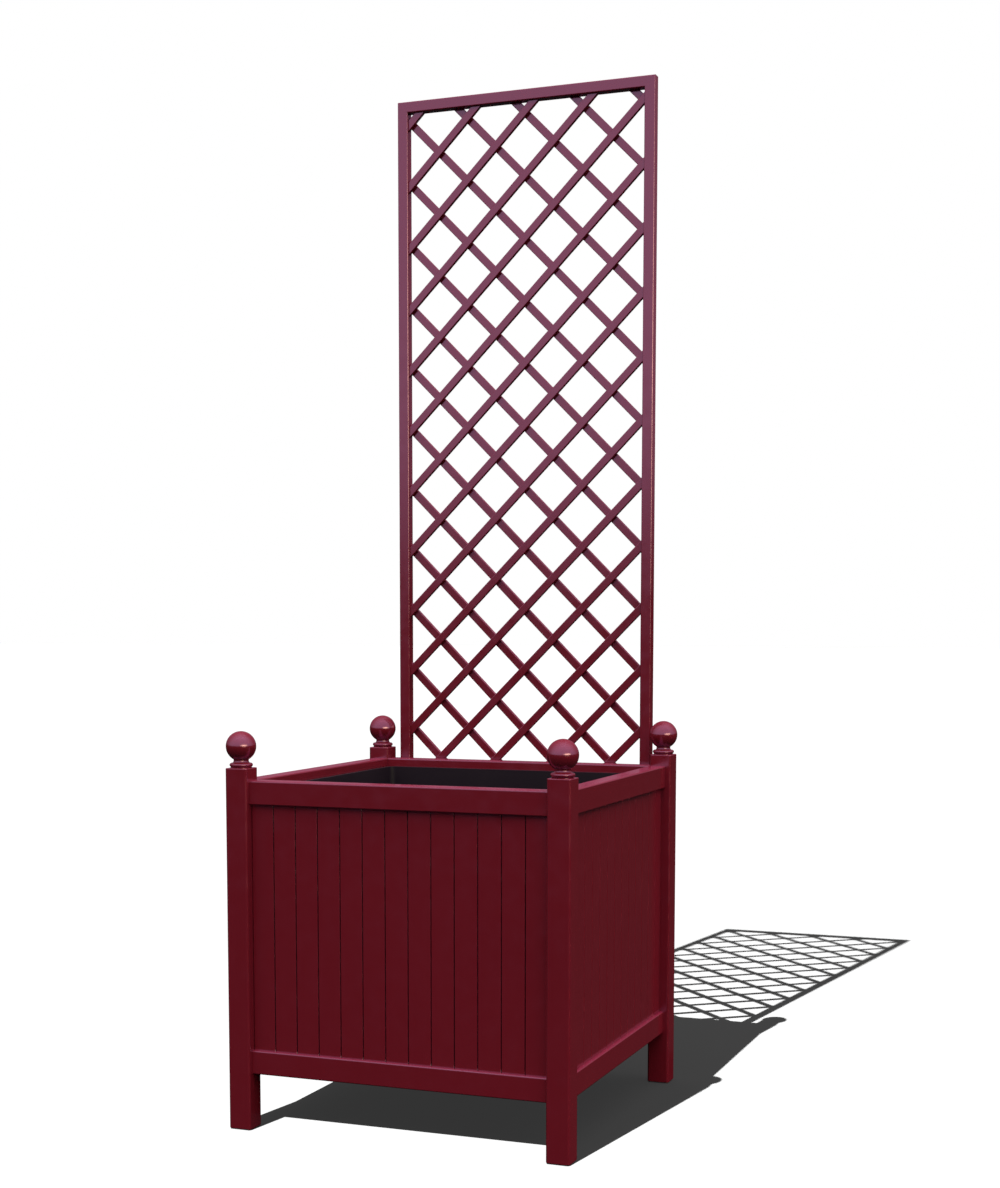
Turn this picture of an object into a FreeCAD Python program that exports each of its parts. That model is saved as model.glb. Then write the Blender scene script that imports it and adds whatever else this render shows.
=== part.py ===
import FreeCAD, Part

import math
import os

import Sketcher

# Square garden planter on four posts, with a tall diagonal trellis bolted to its back.
# Millimetres, +Z up. The front faces -Y. The origin is on the ground, in the middle
# of the rectangle that planter and trellis cover.

doc = FreeCAD.newDocument("planter_with_trellis")

# ---------------------------------------------------------------- driving dimensions

DRIVING = (
    ("planter_width", 600, "across the posts, left to right"),
    ("planter_depth", 600, "across the posts, front to back"),
    ("post_size", 40, "side of the square post tube"),
    ("post_wall", 2, "wall of the post tube"),
    ("post_round", 4.5, "outer corner radius of the post tube"),
    ("post_height", 600, "ground to the top end of the post tube"),
    ("foot_flange", 2, "thickness of the foot plug under the tube"),
    ("foot_inset", 1, "how far the foot flange stays inside the tube's outline"),
    ("plug_depth", 15, "how far the plugs reach into the post"),
    ("plug_slack", 0.2, "gap between a plug and the inside of its tube"),
    ("plug_wall", 2.5, "wall of the hollow foot plug"),
    ("cap_thick", 4, "cap plate on top of the post"),
    ("cap_edge", 1.2, "rounding along the cap's top edge"),
    ("rail_height", 40, "height of the rails"),
    ("rail_depth", 30, "depth of the rails, outside to inside"),
    ("rail_wall", 2, "wall of the rail extrusion"),
    ("rail_round", 2.5, "outer corner radius of the rails"),
    ("rail_recess", 10, "post face to rail face"),
    ("bottom_rail_lift", 94, "ground to the underside of the bottom rail"),
    ("top_rail_drop", 20, "post cap's top to the top rail's upper face"),
    ("channel_depth", 8, "depth of the channel that holds the boards"),
    ("channel_slack", 0.3, "gap on each side of a board in its channel"),
    ("board_count", 13, "boards on each side"),
    ("board_thick", 10, "thickness of a board"),
    ("board_wall", 1.6, "wall of the hollow board"),
    ("board_recess", 7, "rail face to board face"),
    ("board_gap", 0.4, "gap between neighbouring boards"),
    ("board_bevel", 1, "bevel on the long front edges of a board"),
    ("board_end_gap", 1.5, "gap above a board in the top channel"),
    ("tongue_thick", 3, "thickness of the tongue"),
    ("tongue_reach", 5, "how far the tongue stands out"),
    ("tongue_slack", 0.3, "gap above and below the tongue in its groove"),
    ("connector_length", 14, "length of the block inside the rail's end"),
    ("connector_slack", 0.2, "gap between that block and the rail"),
    ("tenon_radius", 6, "round tenon that enters the post"),
    ("tenon_reach", 7, "how far the tenon enters the post"),
    ("tenon_slack", 0.15, "radial gap round the tenon"),
    ("screw_radius", 2, "shank of the connector screws and ledge rivets"),
    ("screw_slack", 0.1, "radial gap round those shanks"),
    ("screw_length", 9, "shank length of the connector screws"),
    ("screw_spare", 1, "room beyond the tip of a connector screw"),
    ("screw_head_radius", 3.75, "head of the connector screws"),
    ("screw_head_thick", 2.2, "thickness of that head"),
    ("screw_from_channel", 5, "screw axis to the chamber's edge beside the channel"),
    ("ledge_leg", 22, "width of the ledge's horizontal leg"),
    ("ledge_wall", 3, "thickness of the ledge angle"),
    ("ledge_lift", 18, "underside of the bottom rail to the ledge's top"),
    ("ledge_foot", 2, "underside of the bottom rail to the ledge's lower edge"),
    ("ledge_end_gap", 45, "end of the rail to the end of the ledge"),
    ("rivet_head_radius", 4, "head of the ledge rivets"),
    ("rivet_head_thick", 1.5, "thickness of that head"),
    ("rivet_tail", 4, "how far a rivet stands into the rail's chamber"),
    ("rivet_spacing", 180, "distance between the ledge rivets"),
    ("rivet_count", 3, "rivets in each ledge"),
    ("bearer_width", 40, "width of a bearer"),
    ("bearer_height", 20, "height of a bearer"),
    ("bearer_wall", 2, "wall of a bearer"),
    ("bearer_count", 3, "bearers under the liner"),
    ("bearer_spacing", 170, "distance between the bearers' middles"),
    ("bearer_end_gap", 1, "gap between a bearer's end and the rail"),
    ("liner_gap", 8, "liner to the inside of rails and posts"),
    ("liner_wall", 3, "wall and floor of the liner"),
    ("liner_round", 14, "outer corner radius of the liner"),
    ("liner_drop", 15, "top rail's upper face to the liner's rim"),
    ("lip_reach", 4.5, "how far the rim stands out from the liner's wall"),
    ("lip_thick", 3, "thickness of the rim"),
    ("drain_radius", 6, "drain holes in the liner's floor"),
    ("drain_across", 170, "distance between the two rows of drain holes"),
    ("drain_spacing", 130, "distance between the drain holes of a row"),
    ("drain_count", 3, "drain holes in a row"),
    ("ball_radius", 25, "ball of the finial"),
    ("ball_lift", 35.5, "cap's top to the middle of the ball"),
    ("neck_radius", 12.5, "neck under the ball"),
    ("ring_radius", 19.2, "ring under the neck"),
    ("ring_top", 8.2, "cap's top to the upper side of the ring"),
    ("ring_bottom", 1.8, "cap's top to the lower side of the ring"),
    ("base_radius", 17.5, "foot of the finial that sits on the cap"),
    ("stud_radius", 4, "threaded stud of the finial"),
    ("stud_length", 18, "length of that stud"),
    ("stud_slack", 0.1, "radial gap round the stud in the cap"),
    ("trellis_side_gap", 10, "line of the posts' inner faces to the trellis frame"),
    ("trellis_tube", 20, "side of the square frame tube"),
    ("trellis_wall", 1.5, "wall of the frame tube"),
    ("trellis_round", 2, "outer corner radius of the frame tube"),
    ("trellis_top", 1810, "ground to the top of the trellis"),
    ("trellis_foot", 94, "ground to the lower end of the trellis"),
    ("trellis_gap", 5, "rail face to trellis frame"),
    ("lattice_pitch", 80, "distance between parallel lattice bars"),
    ("lattice_width", 14, "width of a lattice bar, seen from the front"),
    ("lattice_thick", 7.5, "thickness of a lattice bar, front to back"),
    ("lattice_round", 1, "rounded long edges of a lattice bar"),
    ("lattice_drop", 39, "top of the trellis to the highest middle crossing"),
    ("bolt_radius", 3, "shank of the trellis bolts"),
    ("bolt_slack", 0.2, "radial gap round that shank in frame tube and spacer"),
    ("bolt_head_radius", 5.5, "head of the trellis bolts"),
    ("bolt_head_thick", 3.3, "thickness of that head"),
    ("bolt_end", 15, "how far the bolt reaches behind the rail's face"),
    ("insert_radius", 4.5, "threaded insert in the rail's outer wall"),
    ("insert_length", 12, "length of that insert behind the rail's face"),
    ("insert_slack", 0.1, "radial gap round the insert, and in its bore"),
    ("insert_flange_radius", 6.5, "flange of the insert on the rail's face"),
    ("insert_flange_thick", 1, "thickness of that flange"),
    ("spacer_radius", 8, "spacer between that flange and the trellis"),
)

sheet = doc.addObject("Spreadsheet::Sheet", "Sizes")
for row, (alias, number, note) in enumerate(DRIVING, start=1):
    sheet.set(f"A{row}", note)
    sheet.set(f"B{row}", str(number))
    sheet.setAlias(f"B{row}", alias)
doc.recompute()


class Size:
    """A length as a formula on the sheet's cells, with the number it gives now."""

    def __init__(self, formula, number):
        self.formula = formula
        self.number = number

    def __add__(self, other):
        return Size(f"({self.formula} + {formula_of(other)})", self.number + number_of(other))

    def __sub__(self, other):
        return Size(f"({self.formula} - {formula_of(other)})", self.number - number_of(other))

    def __mul__(self, other):
        return Size(f"({self.formula} * {formula_of(other)})", self.number * number_of(other))

    def __truediv__(self, other):
        return Size(f"({self.formula} / {formula_of(other)})", self.number / number_of(other))

    def __neg__(self):
        return self * -1


def formula_of(value):
    return value.formula if isinstance(value, Size) else repr(float(value))


def number_of(value):
    return value.number if isinstance(value, Size) else float(value)


def cell(alias):
    return Size(f"Sizes.{alias}", float(sheet.get(alias)))


def larger(first, second):
    formula = f"max({first.formula}; {second.formula})"
    return Size(formula, max(first.number, second.number))


def whole(value):
    """The whole number just below a size, for counting repeats."""
    return Size(f"floor({value.formula})", math.floor(value.number))


# ---------------------------------------------------------------- derived places

planter_width = cell("planter_width")
planter_depth = cell("planter_depth")
post_size = cell("post_size")
rail_depth = cell("rail_depth")
rail_height = cell("rail_height")
rail_wall = cell("rail_wall")
rail_recess = cell("rail_recess")
channel_depth = cell("channel_depth")
trellis_tube = cell("trellis_tube")
ledge_wall = cell("ledge_wall")

rail_inset = rail_recess + rail_depth
cap_top = cell("post_height") + cell("cap_thick")
bottom_rail_floor = cell("bottom_rail_lift")
top_rail_roof = cap_top - cell("top_rail_drop")
chamber_height = rail_height - channel_depth - rail_wall * 2
chamber_depth = rail_depth - rail_wall * 2
bottom_chamber_middle = bottom_rail_floor + rail_wall + chamber_height / 2
top_chamber_middle = top_rail_roof - rail_wall - chamber_height / 2
screw_offset = chamber_height / 2 - cell("screw_from_channel")
bottom_screw_height = bottom_chamber_middle + screw_offset
top_screw_height = top_chamber_middle - screw_offset
ledge_top = bottom_rail_floor + cell("ledge_lift")
ledge_bottom = bottom_rail_floor + cell("ledge_foot")
rivet_height = (ledge_top - ledge_wall + ledge_bottom) / 2

back_rail_face = planter_depth / 2 - rail_recess
trellis_front = back_rail_face + cell("trellis_gap")
trellis_back = trellis_front + trellis_tube
rear_reach = trellis_back + cell("bolt_head_thick")
ball_overhang = cell("ball_radius") - post_size / 2
front_reach = larger(planter_depth / 2, planter_depth / 2 + ball_overhang)
centre_shift = (rear_reach - front_reach) / 2
trellis_width = planter_width - post_size * 2 - cell("trellis_side_gap") * 2
bolt_across = trellis_width / 2 - trellis_tube / 2
bolt_places = tuple(
    (bolt_across * sign, height)
    for sign in (-1, 1)
    for height in (bottom_screw_height, top_screw_height)
)

# The four sides, as seen from outside: turn about +Z, length between the posts and
# distance from the planter's middle to the outer face of the posts.
SIDES = (
    ("front", 0, planter_width - post_size * 2, planter_depth / 2),
    ("right", 90, planter_depth - post_size * 2, planter_width / 2),
    ("back", 180, planter_width - post_size * 2, planter_depth / 2),
    ("left", 270, planter_depth - post_size * 2, planter_width / 2),
)

# The two directions that rails run in: the plane across them, the plane along them,
# their length and the distance from the planter's middle to the posts' outer face.
RAIL_RUNS = (
    ("YZ_Plane", "XZ_Plane", planter_width - post_size * 2, planter_depth / 2),
    ("XZ_Plane", "YZ_Plane", planter_depth - post_size * 2, planter_width / 2),
)

# The four corners: turn about +Z and the signs of X and Y. A post's inner faces
# look along its own +X and +Y before it is turned.
CORNERS = (
    ("front_left", 0, -1, -1),
    ("front_right", 90, 1, -1),
    ("back_right", 180, 1, 1),
    ("back_left", 270, -1, 1),
)

# ---------------------------------------------------------------- modelling helpers

PLANE_NORMAL = {"XY_Plane": 1, "XZ_Plane": -1, "YZ_Plane": 1}
ALONG_X = FreeCAD.Vector(1, 0, 0)
ALONG_Y = FreeCAD.Vector(0, 1, 0)
ALONG_Z = FreeCAD.Vector(0, 0, 1)
NEAR = 1e-6
sub_parts = []


def bind(thing, field, value):
    thing.setExpression(field, formula_of(value))


def new_body(name, turn=0, axis=ALONG_Z, x=0, y=0, z=0):
    """A body of its own, turned and then set down by formulas of the sheet."""
    body = doc.addObject("PartDesign::Body", name)
    body.Label = name
    body.AllowCompound = True
    body.Placement = FreeCAD.Placement(FreeCAD.Vector(), FreeCAD.Rotation(axis, turn))
    bind(body, "Placement.Base.x", x)
    bind(body, "Placement.Base.y", -centre_shift + y)
    bind(body, "Placement.Base.z", z)
    sub_parts.append(body)
    return body


def origin_part(body, role):
    return next(part for part in body.Origin.OriginFeatures if part.Role == role)


def new_sketch(body, plane, distance=0):
    """A sketch on one of the body's planes, moved along that plane's positive axis."""
    sketch = body.newObject("Sketcher::SketchObject", f"{body.Name}_sketch")
    sketch.AttachmentSupport = [(origin_part(body, plane), "")]
    sketch.MapMode = "FlatFace"
    bind(sketch, "AttachmentOffset.Base.z", distance * PLANE_NORMAL[plane])
    return sketch


def bind_constraint(sketch, index, value):
    bind(sketch, f"Constraints[{index}]", value)


def fix_point(sketch, geometry, position, x=None, y=None):
    """Holds one point of a sketch at a distance from the sketch's origin."""
    for kind, value in (("DistanceX", x), ("DistanceY", y)):
        if value is not None:
            constraint = Sketcher.Constraint(kind, -1, 1, geometry, position, number_of(value))
            bind_constraint(sketch, sketch.addConstraint(constraint), value)


def draw_outline(sketch, corners):
    """A closed outline of straight lines, each corner at a pair of sizes."""
    points = [FreeCAD.Vector(number_of(x), number_of(y), 0) for x, y in corners]
    first = sketch.GeometryCount
    count = len(points)
    for index in range(count):
        sketch.addGeometry(Part.LineSegment(points[index], points[(index + 1) % count]))
    for index in range(count):
        following = first + (index + 1) % count
        sketch.addConstraint(Sketcher.Constraint("Coincident", first + index, 2, following, 1))
    for index, (x, y) in enumerate(corners):
        fix_point(sketch, first + index, 1, x, y)


def draw_box(sketch, left, right, low, high):
    draw_outline(sketch, ((left, low), (right, low), (right, high), (left, high)))


def draw_square(sketch, half):
    draw_box(sketch, -half, half, -half, half)


def draw_rounded_box(sketch, half_x, half_y, radius):
    """A box about the sketch's origin with round corners."""
    quarter = math.pi / 2
    corners = ((1, 1), (-1, 1), (-1, -1), (1, -1))
    arcs = []
    for turn, (sign_x, sign_y) in enumerate(corners):
        middle_x = (half_x - radius) * sign_x
        middle_y = (half_y - radius) * sign_y
        middle = FreeCAD.Vector(middle_x.number, middle_y.number, 0)
        circle = Part.Circle(middle, ALONG_Z, number_of(radius))
        arc = sketch.addGeometry(Part.ArcOfCircle(circle, turn * quarter, (turn + 1) * quarter))
        tips = ((half_x * sign_x, middle_y), (middle_x, half_y * sign_y))
        first, last = tips if sign_x == sign_y else tips[::-1]
        fix_point(sketch, arc, 1, *first)
        fix_point(sketch, arc, 2, *last)
        fix_point(sketch, arc, 3, x=middle_x)
        arcs.append(arc)
    for arc, following in zip(arcs, arcs[1:] + arcs[:1]):
        start = sketch.getPoint(arc, 2)
        line = sketch.addGeometry(Part.LineSegment(start, sketch.getPoint(following, 1)))
        sketch.addConstraint(Sketcher.Constraint("Coincident", arc, 2, line, 1))
        sketch.addConstraint(Sketcher.Constraint("Coincident", line, 2, following, 1))


def draw_circle(sketch, x, y, radius):
    middle = FreeCAD.Vector(number_of(x), number_of(y), 0)
    index = sketch.addGeometry(Part.Circle(middle, ALONG_Z, number_of(radius)))
    fix_point(sketch, index, 3, x, y)
    size = sketch.addConstraint(Sketcher.Constraint("Radius", index, number_of(radius)))
    bind_constraint(sketch, size, radius)


def draw_circles(sketch, places, radius):
    for x, y in places:
        draw_circle(sketch, x, y, radius)


def plane_of(sketch):
    return sketch.AttachmentSupport[0][0].Role


def add_pad(body, sketch, length, towards=1, symmetric=False):
    """Grows the sketch along the positive (1) or negative (-1) axis, or both ways."""
    pad = body.newObject("PartDesign::Pad", f"{body.Name}_pad")
    pad.Profile = sketch
    bind(pad, "Length", length)
    pad.SideType = "Symmetric" if symmetric else "One side"
    pad.Reversed = not symmetric and PLANE_NORMAL[plane_of(sketch)] != towards
    body.recompute(True)
    return pad


def add_pocket(body, sketch, length, towards=1):
    """Cuts the sketch along the positive (1) or negative (-1) axis."""
    pocket = body.newObject("PartDesign::Pocket", f"{body.Name}_pocket")
    pocket.Profile = sketch
    bind(pocket, "Length", length)
    pocket.Reversed = PLANE_NORMAL[plane_of(sketch)] == towards
    body.recompute(True)
    if not pocket.Shape.Volume < pocket.BaseFeature.Shape.Volume:
        raise RuntimeError(f"{body.Label}: a pocket cuts nothing")
    return pocket


def round_edges(body, feature, radius, chosen):
    """Rounds the feature's edges that the chosen test picks."""
    edges = enumerate(feature.Shape.Edges, start=1)
    names = [f"Edge{number}" for number, edge in edges if chosen(edge)]
    fillet = body.newObject("PartDesign::Fillet", f"{body.Name}_fillet")
    fillet.Base = (feature, names)
    bind(fillet, "Radius", radius)
    body.recompute(True)
    return fillet


def runs_along(axis, within=None):
    """A test for straight edges along an axis whose first end passes a test."""

    def chosen(edge):
        if edge.Curve.TypeId != "Part::GeomLine":
            return False
        if abs(edge.tangentAt(edge.FirstParameter).dot(axis)) < 1 - NEAR:
            return False
        return within is None or within(edge.Vertexes[0].Point)

    return chosen


def add_row(body, feature, extent, count, axis="X_Axis", mode="Features"):
    """Repeats a feature, or the whole shape so far, along an axis."""
    row = body.newObject("PartDesign::LinearPattern", f"{body.Name}_row")
    row.TransformMode = mode
    if mode == "Features":
        row.Originals = [feature]
    row.Direction = (origin_part(body, axis), [""])
    row.Mode = "Extent"
    bind(row, "Length", extent)
    bind(row, "Occurrences", count)
    body.Tip = row
    body.recompute(True)
    return row


# ---------------------------------------------------------------- posts and their ends

half_post = post_size / 2
bore_half = half_post - cell("post_wall")
plug_half = bore_half - cell("plug_slack")
rail_middle_inset = rail_recess + rail_depth / 2
tube_length = cell("post_height") - cell("foot_flange")


def corner_body(kind, corner, height):
    """A body on the axis of one post."""
    name, turn, sign_x, sign_y = corner
    x = (planter_width / 2 - half_post) * sign_x
    y = (planter_depth / 2 - half_post) * sign_y
    return new_body(f"{kind}_{name}", turn, x=x, y=y, z=height)


def make_post(corner):
    """Square tube with round holes in its two inner faces for the rails' tenons."""
    body = corner_body("post", corner, cell("foot_flange"))
    outside = new_sketch(body, "XY_Plane")
    draw_square(outside, half_post)
    tube = add_pad(body, outside, tube_length)
    round_edges(body, tube, cell("post_round"), runs_along(ALONG_Z))
    inside = new_sketch(body, "XY_Plane")
    draw_square(inside, bore_half)
    add_pocket(body, inside, tube_length)
    hole_radius = cell("tenon_radius") + cell("tenon_slack")
    offset = rail_middle_inset - half_post
    for plane in ("XZ_Plane", "YZ_Plane"):
        holes = new_sketch(body, plane)
        for height in (bottom_chamber_middle, top_chamber_middle):
            draw_circle(holes, offset, height - cell("foot_flange"), hole_radius)
        add_pocket(body, holes, half_post)


def make_foot_plug(corner):
    """Moulded plug that closes the post's lower end and meets the ground."""
    body = corner_body("foot_plug", corner, 0)
    flange = new_sketch(body, "XY_Plane")
    draw_square(flange, half_post - cell("foot_inset"))
    sole = add_pad(body, flange, cell("foot_flange"))
    round_edges(body, sole, cell("post_round") - cell("foot_inset"), runs_along(ALONG_Z))
    wall = new_sketch(body, "XY_Plane", cell("foot_flange"))
    draw_square(wall, plug_half)
    draw_square(wall, plug_half - cell("plug_wall"))
    add_pad(body, wall, cell("plug_depth"))


def make_post_cap(corner):
    """Flat cap with a plug inside the tube and a threaded hole for the finial."""
    body = corner_body("post_cap", corner, cell("post_height"))
    plate = new_sketch(body, "XY_Plane")
    draw_square(plate, half_post)
    cap = add_pad(body, plate, cell("cap_thick"))
    rounded = round_edges(body, cap, cell("post_round"), runs_along(ALONG_Z))
    top = number_of(cell("cap_thick"))
    round_edges(
        body,
        rounded,
        cell("cap_edge"),
        lambda edge: all(abs(corner_point.Z - top) < NEAR for corner_point in edge.Vertexes),
    )
    plug = new_sketch(body, "XY_Plane")
    draw_square(plug, plug_half)
    add_pad(body, plug, cell("plug_depth"), towards=-1)
    bore = new_sketch(body, "XY_Plane", cell("cap_thick"))
    draw_circle(bore, 0, 0, cell("stud_radius") + cell("stud_slack"))
    add_pocket(body, bore, cell("cap_thick") + cell("plug_depth"), towards=-1)


def make_finial(corner):
    """Turned finial: threaded stud, foot, rounded ring, cove, neck and ball."""
    body = corner_body("finial", corner, cap_top)
    sketch = new_sketch(body, "XZ_Plane")
    ring_half = (cell("ring_top") - cell("ring_bottom")) / 2
    ring_core = cell("ring_radius") - ring_half
    cove = ring_core - cell("neck_radius")
    ball_top = cell("ball_lift") + cell("ball_radius")
    neck_angle = -math.acos(cell("neck_radius").number / cell("ball_radius").number)
    below = (
        (0, -cell("stud_length")),
        (cell("stud_radius"), -cell("stud_length")),
        (cell("stud_radius"), 0),
        (cell("base_radius"), 0),
        (cell("base_radius"), cell("ring_bottom")),
        (ring_core, cell("ring_bottom")),
    )
    neck_foot = (cell("neck_radius"), cell("ring_top") + cove)

    def spot(x, y):
        return FreeCAD.Vector(number_of(x), number_of(y), 0)

    def arc(x, y, radius, start, end):
        circle = Part.Circle(spot(x, y), ALONG_Z, number_of(radius))
        return sketch.addGeometry(Part.ArcOfCircle(circle, start, end))

    def join(first, first_end, second, second_end):
        constraint = Sketcher.Constraint("Coincident", first, first_end, second, second_end)
        sketch.addConstraint(constraint)

    steps = [
        sketch.addGeometry(Part.LineSegment(spot(*start), spot(*end)))
        for start, end in zip(below, below[1:])
    ]
    quarter = math.pi / 2
    ring = arc(ring_core, cell("ring_bottom") + ring_half, ring_half, -quarter, quarter)
    hollow = arc(ring_core, neck_foot[1], cove, 2 * quarter, 3 * quarter)
    ball = arc(0, cell("ball_lift"), cell("ball_radius"), neck_angle, quarter)
    ball_start = sketch.getPoint(ball, 1)
    neck = sketch.addGeometry(Part.LineSegment(spot(*neck_foot), ball_start))
    axis = sketch.addGeometry(Part.LineSegment(spot(0, ball_top), spot(*below[0])))
    for first, second in zip(steps, steps[1:]):
        join(first, 2, second, 1)
    join(steps[-1], 2, ring, 1)
    join(ring, 2, hollow, 2)
    join(hollow, 1, neck, 1)
    join(neck, 2, ball, 1)
    join(ball, 2, axis, 1)
    join(axis, 2, steps[0], 1)
    for step, (x, y) in zip(steps, below):
        fix_point(sketch, step, 1, x, y)
    fix_point(sketch, ring, 1, *below[-1])
    fix_point(sketch, ring, 2, ring_core, cell("ring_top"))
    fix_point(sketch, ring, 3, x=ring_core)
    fix_point(sketch, hollow, 1, *neck_foot)
    fix_point(sketch, hollow, 3, x=ring_core)
    fix_point(sketch, ball, 3, 0, cell("ball_lift"))
    fix_point(sketch, ball, 1, x=cell("neck_radius"))
    fix_point(sketch, ball, 2, x=0)
    size = sketch.addConstraint(Sketcher.Constraint("Radius", ball, cell("ball_radius").number))
    bind_constraint(sketch, size, cell("ball_radius"))
    turning = body.newObject("PartDesign::Revolution", f"{body.Name}_turning")
    turning.Profile = sketch
    turning.ReferenceAxis = (sketch, ["V_Axis"])
    turning.Angle = 360
    body.recompute(True)


for make_piece in (make_post, make_foot_plug, make_post_cap, make_finial):
    for corner in CORNERS:
        make_piece(corner)

# ---------------------------------------------------------------- rails and boards

screw_hole = cell("screw_radius") + cell("screw_slack")
channel_front = cell("board_recess") - cell("channel_slack")
channel_back = cell("board_recess") + cell("board_thick") + cell("channel_slack")
screw_from_end = cell("connector_length") / 2


def centred(spacing, count):
    """Places of a row of so many things about zero."""
    number = round(count.number)
    return [spacing * (index - (number - 1) / 2) for index in range(number)]


rivet_places = centred(cell("rivet_spacing"), cell("rivet_count"))


def make_rail(level, side):
    """Extruded rail; the channel for the boards opens towards the other rail."""
    name, turn, length, reach = side
    body = new_body(f"{level}_rail_{name}", turn)
    bottom = level == "bottom"
    outer_edge = bottom_rail_floor if bottom else top_rail_roof
    up = 1 if bottom else -1
    face = -reach + rail_recess
    inner = face + rail_depth
    lips = outer_edge + rail_height * up
    channel_floor = outer_edge + (rail_height - channel_depth) * up
    section = new_sketch(body, "YZ_Plane")
    draw_outline(
        section,
        (
            (face, outer_edge),
            (inner, outer_edge),
            (inner, lips),
            (face + channel_back, lips),
            (face + channel_back, channel_floor),
            (face + channel_front, channel_floor),
            (face + channel_front, lips),
            (face, lips),
        ),
    )
    draw_box(
        section,
        face + rail_wall,
        inner - rail_wall,
        outer_edge + rail_wall * up,
        channel_floor - rail_wall * up,
    )
    draw_box(
        section,
        face + channel_back + rail_wall,
        inner - rail_wall,
        channel_floor,
        lips - rail_wall * up,
    )
    bar = add_pad(body, section, length, symmetric=True)
    faces = (face.number, inner.number)
    edges = (outer_edge.number, lips.number)

    def at_corner(point):
        on_face = any(abs(point.y - place) < NEAR for place in faces)
        on_edge = any(abs(point.z - place) < NEAR for place in edges)
        return on_face and on_edge

    round_edges(body, bar, cell("rail_round"), runs_along(ALONG_X, at_corner))
    screw_height = bottom_screw_height if bottom else top_screw_height
    screw_holes = new_sketch(body, "XZ_Plane", inner)
    for sign in (-1, 1):
        draw_circle(screw_holes, (length / 2 - screw_from_end) * sign, screw_height, screw_hole)
    if bottom and name in ("front", "back"):
        draw_circles(screw_holes, [(x, rivet_height) for x in rivet_places], screw_hole)
    add_pocket(body, screw_holes, rail_wall, towards=-1)
    if name == "back":
        insert_holes = new_sketch(body, "XZ_Plane", face)
        places = [place for place in bolt_places if place[1] is screw_height]
        draw_circles(insert_holes, places, cell("insert_radius") + cell("insert_slack"))
        add_pocket(body, insert_holes, rail_wall)


def make_boards(side):
    """Hollow tongued and grooved boards that stand in the channels of two rails."""
    name, turn, length, reach = side
    body = new_body(f"boards_{name}", turn)
    bottom = bottom_rail_floor + rail_height - channel_depth
    top = top_rail_roof - rail_height + channel_depth - cell("board_end_gap")
    pitch = length / cell("board_count")
    face = -reach + rail_recess + cell("board_recess")
    back = face + cell("board_thick")
    bevel = cell("board_bevel")
    wall = cell("board_wall")
    middle = (face + back) / 2
    tongue_half = cell("tongue_thick") / 2
    groove_half = tongue_half + cell("tongue_slack")
    reach_in = cell("tongue_reach")

    def draw_board(left_side, tongued):
        left = left_side + cell("board_gap") / 2
        right = left_side + pitch - cell("board_gap") / 2
        tongue = (
            (right, middle - tongue_half),
            (right + reach_in, middle - tongue_half),
            (right + reach_in, middle + tongue_half),
            (right, middle + tongue_half),
        )
        section = new_sketch(body, "XY_Plane", bottom)
        outline = [(left, face + bevel), (left + bevel, face), (right - bevel, face)]
        outline += [(right, face + bevel)]
        outline += tongue if tongued else ()
        outline += [
            (right, back),
            (left, back),
            (left, middle + groove_half),
            (left + reach_in, middle + groove_half),
            (left + reach_in, middle - groove_half),
            (left, middle - groove_half),
        ]
        draw_outline(section, outline)
        draw_box(section, left + reach_in + wall, right - wall, face + wall, back - wall)
        return add_pad(body, section, top - bottom)

    start = -length / 2
    tongued_count = cell("board_count") - 1
    first = draw_board(start, tongued=True)
    add_row(body, first, pitch * (tongued_count - 1), tongued_count)
    draw_board(start + pitch * tongued_count, tongued=False)


for side in SIDES:
    make_rail("bottom", side)
for side in SIDES:
    make_rail("top", side)
for side in SIDES:
    make_boards(side)

# ---------------------------------------------------------------- rail joints


def make_connectors(level, middle_height, screw_height):
    """Moulded blocks in the rails' ends, each with a round tenon into its post."""
    body = new_body(f"rail_connectors_{level}")
    half_depth = chamber_depth / 2 - cell("connector_slack")
    half_height = chamber_height / 2 - cell("connector_slack")
    low = middle_height - half_height
    high = middle_height + half_height
    for across, along, length, reach in RAIL_RUNS:
        for side in (-1, 1):
            middle = (reach - rail_middle_inset) * side
            for end in (-1, 1):
                block = new_sketch(body, across, length / 2 * end)
                draw_box(block, middle - half_depth, middle + half_depth, low, high)
                add_pad(body, block, cell("connector_length"), towards=-end)
                tenon = new_sketch(body, across, length / 2 * end)
                draw_circle(tenon, middle, middle_height, cell("tenon_radius"))
                add_pad(body, tenon, cell("tenon_reach"), towards=end)
            holes = new_sketch(body, along, (reach - rail_inset) * side)
            for end in (-1, 1):
                draw_circle(holes, (length / 2 - screw_from_end) * end, screw_height, screw_hole)
            add_pocket(body, holes, cell("screw_length") + cell("screw_spare"), towards=side)


make_connectors("bottom", bottom_chamber_middle, bottom_screw_height)
make_connectors("top", top_chamber_middle, top_screw_height)

connector_screws = new_body("connector_screws")
for across, along, length, reach in RAIL_RUNS:
    places = [
        ((length / 2 - screw_from_end) * end, height)
        for end in (-1, 1)
        for height in (bottom_screw_height, top_screw_height)
    ]
    for side in (-1, 1):
        inner_face = (reach - rail_inset) * side
        shanks = new_sketch(connector_screws, along, inner_face)
        draw_circles(shanks, places, cell("screw_radius"))
        add_pad(connector_screws, shanks, cell("screw_length"), towards=side)
        heads = new_sketch(connector_screws, along, inner_face)
        draw_circles(heads, places, cell("screw_head_radius"))
        add_pad(connector_screws, heads, cell("screw_head_thick"), towards=-side)

# ---------------------------------------------------------------- liner and what carries it

bearer_bottom = ledge_top
liner_bottom = bearer_bottom + cell("bearer_height")
liner_top = top_rail_roof - cell("liner_drop")
rail_inner_y = planter_depth / 2 - rail_inset


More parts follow.
